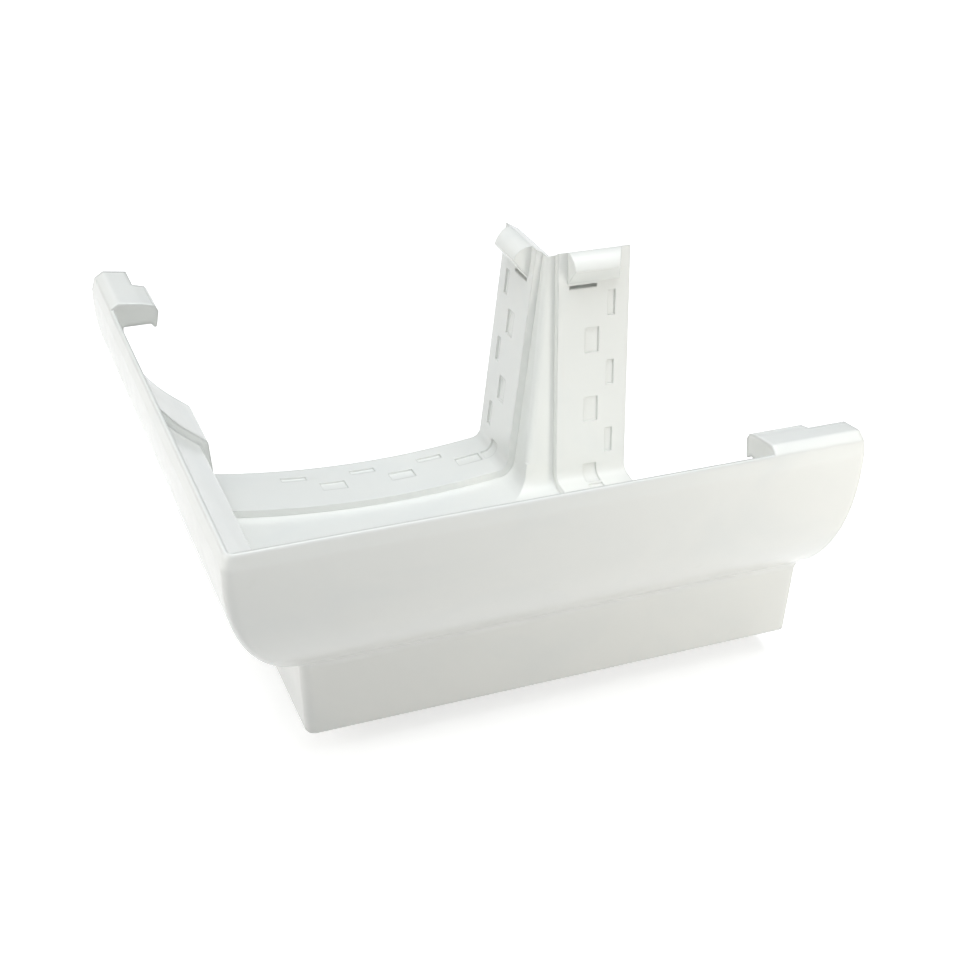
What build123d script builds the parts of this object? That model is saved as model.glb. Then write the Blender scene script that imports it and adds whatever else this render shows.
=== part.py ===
from build123d import *
import os
from math import cos, radians, sin, tan

# External 90 degree corner for a moulded roof gutter, in millimetres, +Z up.
# Leg A runs along +X and leg B along +Y. The origin is on the line where the inner faces of
# the two back walls meet at their tops, level with the bottom edge of the front plinth.
# "Across" is the distance out from the back wall.

# Legs and sockets
leg_reach = 28.6           # leg end, past the back corner
socket_depth = 23.6        # length of the socket band, back from the leg end
body_wall = 2.0
socket_raise = 2.2         # how far the socket band stands in from the body wall

# Back wall, floor and the wall behind the plinth, on the socket's inner face
wall_height = 72.0
wall_lean = 7.0            # how much further out the wall's foot is than its top
wall_top_fall = 2.6        # slope of the wall's top, down towards the back
floor_height = 1.0         # floor at its front edge
floor_fall = 2.5           # how much lower the floor is at its back edge
floor_sag = 3.8            # how far the floor is dished between the two
floor_radius = 3.5         # fillet between floor and back wall
sole_reach = 99.4          # foot of the wall behind the plinth
sole_radius = 6.0          # fillet at that foot
shelf_draft = 2.3          # how much further out that wall's top is
shelf_radius = 1.5
slope_angle = 40.0         # slope from that wall up to the bulge
corner_radius = 2.0        # rounding of the back walls' inner corner

# Front: plinth, bulge and rim
plinth_cover = 6.3         # from the foot of the wall behind it out to the plinth's top edge
plinth_draft = 1.5         # how far the plinth's bottom edge is set back
plinth_edge_radius = 1.5
bulge_overhang = 21.4      # how far the bulge stands out past the plinth
bulge_radius = 49.6
crest_height = 64.0        # height of the bulge's furthest point
rim_rise = 6.2             # rim above the bulge's furthest point
rim_chamfer_depth = 1.0
rim_chamfer_height = 3.4
mitre_radius = 2.5         # rounding of the outer mitre edge

# Front hook, over the gutter's front bead
hook_run = 24.1            # length along the leg, back from the leg end
hook_rise = 1.6            # hook's top above the rim
hook_lead = 3.4            # from the bulge's furthest point in to the hook's top edge
hook_length = 14.1         # from the bulge's furthest point in to the hook's nose
hook_notch_length = 10.0   # the nose is cut back this far along at the leg end
hook_notch_depth = 4.3
hook_web = 7.0             # height of the hook's end web
hook_skin = 2.3
hook_drip = 1.7            # how far the lip hangs below the web
hook_edge_radius = 0.9

# Rear clip and its moulding window
clip_inset = 2.8           # clip's end, back from the leg end
clip_length = 17.7
clip_taper = 3.3           # how much shorter the clip is at its tip
clip_tip = 6.2             # tip's distance out from the wall top
clip_tip_drop = 4.0        # tip below the wall top
clip_depth = 11.0          # clip's root below the wall top
clip_edge_radius = 0.5
window_inset = 0.6
window_length = 9.1
window_height = 1.1

# Castellated seal groove: wide pockets and narrow strips by turns
groove_depth = 0.6
groove_drop = 13.2         # first cell's top below the wall top
groove_pitch = 11.3
groove_cell = 8.0          # length of one cell, the rest of the pitch being plain
groove_wall_cells = 6
groove_floor_start = 11.5
groove_floor_cells = 6
pocket_inset = 14.4        # back from the leg end
pocket_width = 4.6
strip_inset = 7.0          # back from the leg end
strip_width = 2.4

socket_start = leg_reach - socket_depth
socket_wall = body_wall + socket_raise
floor_back = floor_height - floor_fall
wall_slope = wall_lean / (wall_height - floor_back)
shelf_reach = sole_reach + shelf_draft
plinth_reach = sole_reach + plinth_cover
front_reach = plinth_reach + bulge_overhang
bulge_axis = front_reach - bulge_radius
step_height = crest_height - (bulge_radius ** 2 - (plinth_reach - bulge_axis) ** 2) ** 0.5
rim_height = crest_height + rim_rise
hook_height = rim_height + hook_rise
hook_nose = front_reach - hook_length
hook_notch = hook_nose + hook_notch_depth
clip_end = leg_reach - clip_inset
clip_start = clip_end - clip_length
far = front_reach + wall_height

# Seen from a leg's end: local x is the distance across, local y is the height
leg_end = Plane(origin=(leg_reach, 0, 0), x_dir=(0, -1, 0), z_dir=(-1, 0, 0))
mitre_plane = Plane(origin=(0, 0, 0), z_dir=(1, -1, 0))


def on_circle(radius, angle):
    """Point about the bulge's centre, the angle counted up from straight out."""
    return (bulge_axis + radius * cos(radians(angle)), crest_height + radius * sin(radians(angle)))


def round_corner(face, point, radius):
    """Face with its corner nearest to a point rounded."""
    return fillet(face.vertices().sort_by_distance(Vector(*point, 0))[0], radius)


def floor_points(out):
    """Back, middle and front of the floor, at a distance out below the socket's inner face."""
    back = (wall_lean - out, floor_back - out)
    middle = ((wall_lean + sole_reach) / 2, (floor_back + floor_height) / 2 - floor_sag - out)
    front = (sole_reach + out, floor_height - out)
    return back, middle, front


def on_wall(out, height):
    """Point on the back wall, at a distance out behind the socket's inner face."""
    return (wall_lean - out - wall_slope * (height - floor_back + out), height)


def channel_section(out):
    """Space inside the gutter, to a distance out behind the socket's inner face."""
    radius = bulge_radius - socket_wall + out
    wall_foot, floor_middle, sole = floor_points(out)
    open_height = wall_height * 1.5
    slope_top = on_circle(radius, slope_angle - 90)
    shelf = shelf_reach + out
    shelf_height = slope_top[1] - (slope_top[0] - shelf) * tan(radians(slope_angle))
    crest = on_circle(radius, 0)
    above_wall = on_wall(out, open_height)
    above_front = (crest[0], open_height)
    face = make_face([
        Line(above_wall, wall_foot),
        ThreePointArc(wall_foot, floor_middle, sole),
        Line(sole, (shelf, shelf_height)),
        Line((shelf, shelf_height), slope_top),
        ThreePointArc(slope_top, on_circle(radius, (slope_angle - 90) / 2), crest),
        Line(crest, above_front),
        Line(above_front, above_wall),
    ])
    face = round_corner(face, wall_foot, floor_radius + out)
    face = round_corner(face, sole, sole_radius + out)
    return round_corner(face, (shelf, shelf_height), shelf_radius)


def wall_space_section():
    """Space just inside the body's back wall, above the fillet at its foot."""
    foot = on_wall(socket_raise, floor_back + floor_radius + socket_raise)
    top = on_wall(socket_raise, wall_height + body_wall)
    width = wall_lean + floor_radius
    return make_face(Polyline(foot, (width, foot[1]), (width, top[1]), top, close=True))


def trough_section():
    """Outside of the back wall and floor, filled up to the top."""
    wall_foot, floor_middle, sole = floor_points(socket_wall)
    wall_back = on_wall(socket_wall, wall_height - wall_top_fall)
    wall_top = on_wall(0, wall_height)
    step = (sole[0], step_height)
    above_floor = (wall_lean + floor_radius, wall_height)
    face = make_face([
        Line(wall_back, wall_foot),
        ThreePointArc(wall_foot, floor_middle, sole),
        Line(sole, step),
        Line(step, above_floor),
        Line(above_floor, wall_top),
        Line(wall_top, wall_back),
    ])
    face = round_corner(face, wall_foot, floor_radius + socket_wall)
    return round_corner(face, sole, sole_radius + socket_wall)


def plinth_section():
    """Plain band below the bulge, carried up into it."""
    foot = (plinth_reach - plinth_draft, 0)
    head_height = step_height + socket_wall
    head = (foot[0] + plinth_draft / step_height * head_height, head_height)
    return make_face(Polyline((sole_reach, 0), foot, head, (sole_reach, head_height), close=True))


def bulge_section():
    """Rounded front from the plinth up to the rim, filled behind."""
    crest = on_circle(bulge_radius, 0)
    rim_outer = (front_reach, rim_height - rim_chamfer_height)
    rim_top = (front_reach - rim_chamfer_depth, rim_height)
    return make_face([
        ThreePointArc((plinth_reach, step_height), on_circle(bulge_radius, -25), crest),
        Line(crest, rim_outer),
        Line(rim_outer, rim_top),
        Line(rim_top, (sole_reach, rim_height)),
        Line((sole_reach, rim_height), (sole_reach, step_height)),
        Line((sole_reach, step_height), (plinth_reach, step_height)),
    ])


def run(section, start, end):
    """A section drawn out along leg A between two distances past the back corner."""
    return extrude(leg_end.offset(leg_reach - end) * section, amount=end - start)


def both_legs(leg):
    """Leg A with its mirror image, leg B."""
    return leg + mirror(leg, about=mitre_plane)


def mitred(section, end):
    """A section run round the corner, both legs ending the same distance past it."""
    side = make_face(Polyline((-far, -far), (far, far), (far, -far), close=True))
    half = extrude(Plane.XY.offset(-far) * side, amount=2 * far)
    return both_legs(run(section, -far, end) & half)


def plate(x_low, x_high, across_low, across_high, low, high):
    """Box on leg A between distances along, across and up."""
    size = (x_high - x_low, across_high - across_low, high - low)
    middle = ((x_high + x_low) / 2, -(across_high + across_low) / 2, (high + low) / 2)
    return Pos(*middle) * Box(*size)


def front_hook():
    """Hook on the front rim of leg A: a tongue with a drip lip, hollow behind its end web."""
    start = leg_reach - hook_run
    lip = hook_height - hook_web
    socket_face = front_reach - socket_wall
    outline = FilletPolyline(
        (front_reach - body_wall / 2, rim_height - hook_web),
        (front_reach - rim_chamfer_depth, rim_height),
        (front_reach - hook_lead, hook_height),
        (hook_notch, hook_height - hook_edge_radius),
        (hook_nose + hook_edge_radius, hook_height - 2 * hook_edge_radius),
        (hook_nose, (lip + hook_height) / 2),
        (hook_nose + hook_edge_radius, lip - hook_drip),
        (hook_nose + hook_skin, lip),
        (socket_face, lip),
        (socket_face, lip - hook_drip),
        radius=hook_edge_radius / 2,
        close=True,
    )
    hook = run(make_face(outline), start, leg_reach)
    notch_start = leg_reach - hook_notch_length
    hook -= plate(notch_start, leg_reach, hook_nose - hook_skin, hook_notch, 0, far)
    hollow_top = hook_height - hook_skin
    return hook - plate(start + hook_skin, leg_reach, hook_nose + hook_skin, socket_face, 0, hollow_top)


def rear_clip():
    """Wedge on the back wall of leg A that snaps over the gutter's rear edge."""
    top = (0, wall_height)
    lead = (clip_tip * 0.6, wall_height - clip_tip_drop * 0.25)
    tip = (clip_tip, wall_height - clip_tip_drop)
    root = (0, wall_height - clip_depth)
    root_back = (-body_wall, wall_height - clip_depth)
    top_back = (-body_wall, wall_height - wall_top_fall)
    wedge = make_face([
        ThreePointArc(top, lead, tip),
        Line(tip, root),
        Line(root, root_back),
        Line(root_back, top_back),
        Line(top_back, top),
    ])
    wedge = run(round_corner(wedge, tip, clip_edge_radius), clip_start, clip_end)
    plan = make_face(Polyline(
        (clip_start, body_wall),
        (clip_end, body_wall),
        (clip_end, 0),
        (clip_end - clip_taper, -clip_tip),
        (clip_start, -clip_tip),
        close=True,
    ))
    return wedge & extrude(plan, amount=far)


def window():
    """Slot through the back wall of leg A under the rear clip."""
    start = clip_start + window_inset
    top = wall_height - clip_depth + clip_edge_radius
    return plate(start, start + window_length, -far, wall_lean, top - window_height, top)


def groove():
    """Castellated recess in the wall and floor of leg A's socket, cut to an even depth."""
    strip = (leg_reach - strip_inset, leg_reach - strip_inset + strip_width)
    pocket = (leg_reach - pocket_inset, leg_reach - pocket_inset + pocket_width)
    cells = Part()
    for index in range(groove_wall_cells):
        span = pocket if index % 2 else strip
        top = wall_height - groove_drop - index * groove_pitch
        cells += plate(*span, -far, wall_lean + floor_radius, top - groove_cell, top)
    for index in range(groove_floor_cells):
        span = strip if index % 2 else pocket
        near = groove_floor_start + index * groove_pitch
        cells += plate(*span, near, near + groove_cell, -far, floor_height + groove_pitch / 2)
    return cells & run(channel_section(groove_depth), socket_start, leg_reach)


def on_mitre(edge):
    """Whether an edge lies in the mitre plane."""
    return all(abs(vertex.X - vertex.Y) < 0.001 for vertex in edge.vertices())


def is_front(edge):
    """Whether an edge is on the outside of the front, upright or nearly so."""
    lowest, highest = sorted(vertex.Z for vertex in edge.vertices())
    return edge.center().X < -sole_reach - 0.001 and highest - lowest > 0.001


def is_plinth_foot(edge):
    """Whether an edge runs along the front of the plinth's underside."""
    front = mitre_radius - plinth_reach + plinth_draft
    level = all(abs(vertex.Z) < 0.001 for vertex in edge.vertices())
    return level and min(edge.center().X, edge.center().Y) < front


def rounded_front(section):
    """A front section run round the corner, its outer mitre edge rounded."""
    solid = mitred(section, leg_reach)
    edges = [edge for edge in solid.edges() if on_mitre(edge) and is_front(edge)]
    return fillet(edges, mitre_radius)


plinth = rounded_front(plinth_section())
plinth = fillet([edge for edge in plinth.edges() if is_plinth_foot(edge)], plinth_edge_radius)
outside = mitred(trough_section(), leg_reach) + plinth + rounded_front(bulge_section())

# Body space all round the corner, wider than the socket space in each leg
wall_space = mitred(wall_space_section(), leg_reach)
corner_edges = [edge for edge in wall_space.edges() if on_mitre(edge) and edge.center().X > -wall_lean]
short_of_sockets = Pos(socket_start - far, socket_start - far, 0) * Box(2 * far, 2 * far, 2 * far)
wall_space = fillet(corner_edges, corner_radius) & short_of_sockets
body_space = mitred(channel_section(socket_raise), socket_start)
corner = outside - body_space - wall_space - mitred(channel_section(0), leg_reach)

# Clips, hooks, windows and grooves, the same on both legs
corner += both_legs(front_hook())
corner += both_legs(rear_clip())
corner -= both_legs(window())
corner -= both_legs(groove())

os.makedirs("parts", exist_ok=True)
export_step(corner, "parts/gutter_corner.step")
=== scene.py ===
import math
import bpy
import bmesh
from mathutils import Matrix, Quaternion, Vector


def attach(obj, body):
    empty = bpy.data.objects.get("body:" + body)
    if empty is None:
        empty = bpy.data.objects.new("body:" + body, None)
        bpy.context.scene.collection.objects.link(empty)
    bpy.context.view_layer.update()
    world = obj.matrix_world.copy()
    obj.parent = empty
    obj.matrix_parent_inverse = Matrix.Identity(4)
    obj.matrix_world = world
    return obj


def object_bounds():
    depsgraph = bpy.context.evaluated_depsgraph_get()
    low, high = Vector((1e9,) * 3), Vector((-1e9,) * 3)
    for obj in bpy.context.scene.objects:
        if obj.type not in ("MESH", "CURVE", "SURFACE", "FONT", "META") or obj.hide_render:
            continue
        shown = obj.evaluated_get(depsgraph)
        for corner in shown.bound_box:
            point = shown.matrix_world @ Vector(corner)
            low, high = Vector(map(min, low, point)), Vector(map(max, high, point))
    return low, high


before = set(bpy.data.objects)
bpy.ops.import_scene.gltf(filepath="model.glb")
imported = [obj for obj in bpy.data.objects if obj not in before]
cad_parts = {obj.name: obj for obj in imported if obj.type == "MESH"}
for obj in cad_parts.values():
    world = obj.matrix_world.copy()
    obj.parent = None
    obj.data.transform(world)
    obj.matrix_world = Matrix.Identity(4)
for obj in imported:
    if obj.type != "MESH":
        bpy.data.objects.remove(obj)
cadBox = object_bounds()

scene = bpy.context.scene
mm = 0.001
scene.view_settings.view_transform = "Standard"


def hexToLinear(code):
    # sRGB hex to the linear colour that the shader wants
    channels = [int(code[i:i + 2], 16) / 255 for i in (1, 3, 5)]
    return [c / 12.92 if c <= 0.04045 else ((c + 0.055) / 1.055) ** 2.4 for c in channels] + [1.0]


def addNode(tree, kind, settings=None, links=None):
    # one node: plain attributes, socket values by name or number, and what feeds its inputs
    node = tree.nodes.new(kind)
    for key, value in (settings or {}).items():
        if isinstance(key, str) and hasattr(node, key):
            setattr(node, key, value)
        else:
            node.inputs[key].default_value = value
    for key, source in (links or {}).items():
        tree.links.new(source, node.inputs[key])
    return node


def newMaterial(name):
    mat = bpy.data.materials.new(name)
    mat.use_nodes = True
    mat.node_tree.nodes.clear()
    return mat, mat.node_tree


# uPVC, injection moulded and left as it came out of the tool: a white with a soft gloss,
# faint flow marks where the melt ran, slightly uneven polish and a few rubbed places
upvc = {
    "white": "#F4F5F2",
    "flowTint": "#F0F2F0",
    "rubTint": "#ECEDE8",
    "ior": 1.53,
    "roughLow": 0.17,
    "roughHigh": 0.27,
    "flowSizeMm": 45.0,      # width of a flow mark
    "flowRange": (0.45, 0.75),
    "polishSizeMm": 16.0,    # patches of more or less polish
    "polishRange": (0.3, 0.7),
    "peelSizeMm": 6.0,       # the tool's own unevenness
    "peelHeightMm": 0.008,
    "rubSpacingMm": 14.0,
    "rubRange": (0.64, 0.78),
    "rubMost": 0.5,          # no place is rubbed all the way to its tint
    "edgeRoundMm": 0.6,      # moulded edges are never knife sharp
    "frontRoundMm": 1.8,     # and the rim and the hooks are softer still
    "frontFromMm": 95.0,     # how far out from the back walls the softer edges start
    "frontBlendMm": 2.0,
    "edgeSamples": 16,
}


def makeUpvc(name, softEdges):
    mat, tree = newMaterial(name)
    place = addNode(tree, "ShaderNodeTexCoord").outputs["Object"]
    flow = addNode(tree, "ShaderNodeTexNoise",
                   {"Scale": 1 / (upvc["flowSizeMm"] * mm), "Detail": 3.0, "Distortion": 1.6},
                   {"Vector": place}).outputs["Fac"]
    flowMask = addNode(tree, "ShaderNodeMapRange",
                       {"From Min": upvc["flowRange"][0], "From Max": upvc["flowRange"][1]},
                       {"Value": flow}).outputs["Result"]
    tinted = addNode(tree, "ShaderNodeMix",
                     {"data_type": "RGBA", 6: hexToLinear(upvc["white"]), 7: hexToLinear(upvc["flowTint"])},
                     {0: flowMask}).outputs[2]
    rub = addNode(tree, "ShaderNodeTexNoise",
                  {"Scale": 1 / (upvc["rubSpacingMm"] * mm), "Detail": 6.0, "Roughness": 0.7},
                  {"Vector": place}).outputs["Fac"]
    rubMask = addNode(tree, "ShaderNodeMapRange",
                      {"From Min": upvc["rubRange"][0], "From Max": upvc["rubRange"][1],
                       "To Max": upvc["rubMost"]},
                      {"Value": rub}).outputs["Result"]
    colour = addNode(tree, "ShaderNodeMix",
                     {"data_type": "RGBA", 7: hexToLinear(upvc["rubTint"])},
                     {0: rubMask, 6: tinted}).outputs[2]
    polish = addNode(tree, "ShaderNodeTexNoise",
                     {"Scale": 1 / (upvc["polishSizeMm"] * mm), "Detail": 4.0},
                     {"Vector": place}).outputs["Fac"]
    rough = addNode(tree, "ShaderNodeMapRange",
                    {"From Min": upvc["polishRange"][0], "From Max": upvc["polishRange"][1],
                     "To Min": upvc["roughLow"], "To Max": upvc["roughHigh"]},
                    {"Value": polish}).outputs["Result"]
    peel = addNode(tree, "ShaderNodeTexNoise",
                   {"Scale": 1 / (upvc["peelSizeMm"] * mm), "Detail": 2.0},
                   {"Vector": place}).outputs["Fac"]
    bump = addNode(tree, "ShaderNodeBump",
                   {"Strength": 1.0, "Distance": upvc["peelHeightMm"] * mm}, {"Height": peel})
    if softEdges:
        axes = addNode(tree, "ShaderNodeSeparateXYZ", {}, {0: place}).outputs
        outermost = addNode(tree, "ShaderNodeMath", {"operation": "MINIMUM"},
                            {0: axes["X"], 1: axes["Y"]}).outputs[0]
        front = -upvc["frontFromMm"] * mm
        radius = addNode(tree, "ShaderNodeMapRange",
                         {"From Min": front - upvc["frontBlendMm"] * mm, "From Max": front,
                          "To Min": upvc["frontRoundMm"] * mm, "To Max": upvc["edgeRoundMm"] * mm},
                         {"Value": outermost}).outputs["Result"]
        edge = addNode(tree, "ShaderNodeBevel", {"samples": upvc["edgeSamples"]},
                       {"Radius": radius}).outputs["Normal"]
        tree.links.new(edge, bump.inputs["Normal"])
    shader = addNode(tree, "ShaderNodeBsdfPrincipled", {"IOR": upvc["ior"]},
                     {"Base Color": colour, "Roughness": rough,
                      "Normal": bump.outputs["Normal"]}).outputs["BSDF"]
    addNode(tree, "ShaderNodeOutputMaterial", {}, {"Surface": shader})
    return mat


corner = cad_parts["gutter_corner"]
corner.data.materials.clear()
corner.data.materials.append(makeUpvc("upvcMouldedWhite", True))
print("material: moulded uPVC on the gutter corner")

# the soft cove in the angle where the bulge comes down on the plinth, all round the front
cove = {
    "radiusMm": 6.0,
    "plinthMm": 105.5,       # plinth's face where the cove starts, out from the back wall
    "axisMm": (77.5, 64.0),  # centre of the bulge, out and up
    "bulgeMm": 49.57,        # radius of the bulge, a hair less so that the strip sinks in
    "rootMm": (104.6, 23.6),  # inner edge of the strip, hidden in the wall
    "turnMm": 103.2,         # where the straight run ends and the rounded mitre starts
    "endGapMm": 0.05,        # the strip stops just short of the leg's end
    "steps": 16,
    "sharpDegrees": 30.0,
}


def drawOut(bm, face, vec):
    # pulls a face out and gives back the new end
    made = bmesh.ops.extrude_face_region(bm, geom=[face])["geom"]
    face = [part for part in made if isinstance(part, bmesh.types.BMFace)][0]
    bmesh.ops.translate(bm, verts=face.verts, vec=vec)
    return face


def makeCove():
    across, high = cove["axisMm"]
    # centre of the cove: it touches the plinth on one side and the bulge on the other
    out = cove["plinthMm"] + cove["radiusMm"]
    low = high - math.sqrt((cove["bulgeMm"] + cove["radiusMm"]) ** 2 - (out - across) ** 2)
    sweep = math.atan2(high - low, out - across)
    end, turn = cadBox[1].x - cove["endGapMm"] * mm, cove["turnMm"] * mm
    bm = bmesh.new()
    foot = bm.verts.new((end, -cove["plinthMm"] * mm, low * mm))
    head = bmesh.ops.spin(bm, geom=[foot], cent=(end, -out * mm, low * mm), axis=(1, 0, 0),
                          angle=sweep, steps=cove["steps"])["geom_last"][0]
    root = bm.verts.new((end, -cove["rootMm"][0] * mm, cove["rootMm"][1] * mm))
    bm.edges.new((head, root))
    bm.edges.new((root, foot))
    face = bmesh.ops.contextual_create(bm, geom=bm.edges[:])["faces"][0]
    face = drawOut(bm, face, (-end - turn, 0, 0))
    spun = bmesh.ops.spin(bm, geom=[face, *face.edges, *face.verts], cent=(-turn, -turn, 0),
                          axis=(0, 0, 1), angle=-math.pi / 2, steps=cove["steps"])["geom_last"]
    face = [part for part in spun if isinstance(part, bmesh.types.BMFace)][0]
    drawOut(bm, face, (0, end + turn, 0))
    # the face that the spin started from is left inside, so it goes
    inner = [face for face in bm.faces if all(len(edge.link_faces) > 2 for edge in face.edges)]
    bmesh.ops.delete(bm, geom=inner, context="FACES_ONLY")
    bmesh.ops.recalc_face_normals(bm, faces=bm.faces[:])
    for face in bm.faces:
        face.smooth = True
    mesh = bpy.data.meshes.new("bulgeCove")
    bm.to_mesh(mesh)
    bm.free()
    mesh.set_sharp_from_angle(angle=math.radians(cove["sharpDegrees"]))
    mesh.materials.append(makeUpvc("upvcMouldedCove", False))
    strip = bpy.data.objects.new("bulgeCove", mesh)
    scene.collection.objects.link(strip)
    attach(strip, "root")


makeCove()
print("piece: cove under the bulge")

# plain pale floor, white to the camera and to reflections, that still takes the shadow
floorLook = {
    "colour": "#D6D6D6",
    "lift": 0.62,            # added to what the camera sees, so that the lit floor is white
    "farLift": 1.0,          # the same far off, where little light falls and no shadow lies
    "nearMm": 450.0,
    "farMm": 1400.0,
    "sizeMm": 6000.0,
}


def makeFloor():
    mat, tree = newMaterial("paperSweepWhite")
    rays = addNode(tree, "ShaderNodeLightPath").outputs
    seen = addNode(tree, "ShaderNodeMath", {"operation": "MAXIMUM"},
                   {0: rays["Is Camera Ray"], 1: rays["Is Glossy Ray"]}).outputs[0]
    seen = addNode(tree, "ShaderNodeMath", {"operation": "MAXIMUM"},
                   {0: seen, 1: rays["Is Transmission Ray"]}).outputs[0]
    place = addNode(tree, "ShaderNodeTexCoord").outputs["Object"]
    away = addNode(tree, "ShaderNodeVectorMath", {"operation": "LENGTH"}, {0: place}).outputs["Value"]
    level = addNode(tree, "ShaderNodeMapRange",
                    {"From Min": floorLook["nearMm"] * mm, "From Max": floorLook["farMm"] * mm,
                     "To Min": floorLook["lift"], "To Max": floorLook["farLift"]},
                    {"Value": away}).outputs["Result"]
    lift = addNode(tree, "ShaderNodeMath", {"operation": "MULTIPLY"}, {0: seen, 1: level}).outputs[0]
    paper = addNode(tree, "ShaderNodeBsdfDiffuse", {"Color": hexToLinear(floorLook["colour"])}).outputs[0]
    glow = addNode(tree, "ShaderNodeEmission", {}, {"Strength": lift}).outputs[0]
    both = addNode(tree, "ShaderNodeAddShader", {}, {0: paper, 1: glow}).outputs[0]
    addNode(tree, "ShaderNodeOutputMaterial", {}, {"Surface": both})
    bm = bmesh.new()
    bmesh.ops.create_grid(bm, x_segments=1, y_segments=1, size=floorLook["sizeMm"] * mm / 2)
    bmesh.ops.translate(bm, verts=bm.verts, vec=(0, 0, cadBox[0].z))
    mesh = bpy.data.meshes.new("floor")
    bm.to_mesh(mesh)
    bm.free()
    floor = bpy.data.objects.new("floor", mesh)
    floor.data.materials.append(mat)
    scene.collection.objects.link(floor)


makeFloor()
print("stage: white floor")

# soft studio light: one big box over the object, one at the left, a small fill at the front right
lamps = {
    "overhead": {"at": (-60, -120, 900), "sizeMm": 900, "watts": 6.0, "colour": "#FAFDFF", "shine": True},
    "leftBox": {"at": (-900, -120, 400), "sizeMm": 700, "watts": 3.1, "colour": "#FFFCF6", "shine": True},
    "rightFill": {"at": (190, -300, 60), "sizeMm": 160, "watts": 0.42, "colour": "#FFFBF2", "shine": False},
}
lampAim = (-50, -50, 30)     # mm, about the middle of the part
# a dim room whose ceiling gives back more light than its walls
worldLook = {
    "colour": "#F4F8FA",
    "walls": 0.02,
    "ceiling": 0.65,
    "wallTop": 0.5,          # height in the direction's own units, 0 level and 1 straight up
    "ceilingFrom": 0.9,
}


def makeLights():
    for name, lamp in lamps.items():
        data = bpy.data.lights.new(name, "AREA")
        data.shape = "SQUARE"
        data.size = lamp["sizeMm"] * mm
        data.energy = lamp["watts"]
        data.color = hexToLinear(lamp["colour"])[:3]
        obj = bpy.data.objects.new(name, data)
        obj.visible_glossy = lamp["shine"]
        obj.location = Vector(lamp["at"]) * mm
        aim = Vector(lampAim) * mm - obj.location
        obj.rotation_mode = "QUATERNION"
        obj.rotation_quaternion = aim.to_track_quat("-Z", "Y")
        scene.collection.objects.link(obj)
    world = bpy.data.worlds.new("studio")
    world.use_nodes = True
    tree = world.node_tree
    tree.nodes.clear()
    rays = addNode(tree, "ShaderNodeLightPath").outputs
    seen = addNode(tree, "ShaderNodeMath", {"operation": "MAXIMUM"},
                   {0: rays["Is Camera Ray"], 1: rays["Is Transmission Ray"]}).outputs[0]
    direction = addNode(tree, "ShaderNodeTexCoord").outputs["Generated"]
    up = addNode(tree, "ShaderNodeSeparateXYZ", {}, {0: direction}).outputs["Z"]
    room = addNode(tree, "ShaderNodeMapRange",
                   {"From Min": worldLook["wallTop"], "From Max": worldLook["ceilingFrom"],
                    "To Min": worldLook["walls"], "To Max": worldLook["ceiling"]},
                   {"Value": up}).outputs["Result"]
    level = addNode(tree, "ShaderNodeMapRange", {"To Max": 1.0},
                    {"Value": seen, "To Min": room}).outputs["Result"]
    sky = addNode(tree, "ShaderNodeMix",
                  {"data_type": "RGBA", 6: hexToLinear(worldLook["colour"]), 7: hexToLinear("#FFFFFF")},
                  {0: seen}).outputs[2]
    back = addNode(tree, "ShaderNodeBackground", {}, {"Color": sky, "Strength": level}).outputs[0]
    addNode(tree, "ShaderNodeOutputWorld", {}, {"Surface": back})
    scene.world = world


makeLights()
print("light: overhead box, left box and a fill")

# the photograph's viewpoint
viewpoint = {
    "azimuth": -22.33,       # degrees, 0 looks along +Y
    "elevation": 30.03,
    "roll": 1.63,
    "atMm": (-183.3, -402.4, 250.6),
    "focalPixels": 1603.0,
    "imagePixels": 960.0,
    "sensorMm": 36.0,
    "clipM": (0.01, 50.0),
}


def makeCamera():
    data = bpy.data.cameras.new("photoView")
    data.sensor_width = viewpoint["sensorMm"]
    data.lens = viewpoint["focalPixels"] / viewpoint["imagePixels"] * data.sensor_width
    data.clip_start, data.clip_end = viewpoint["clipM"]
    camera = bpy.data.objects.new("photoView", data)
    a, e = math.radians(viewpoint["azimuth"]), math.radians(viewpoint["elevation"])
    back = Vector((math.sin(a) * math.cos(e), -math.cos(a) * math.cos(e), math.sin(e)))
    camera.location = Vector(viewpoint["atMm"]) * mm
    camera.rotation_mode = "QUATERNION"
    level = (-back).to_track_quat("-Z", "Y")
    camera.rotation_quaternion = level @ Quaternion((0, 0, 1), math.radians(viewpoint["roll"]))
    scene.collection.objects.link(camera)
    scene.camera = camera


makeCamera()
print("camera: the photograph's view")
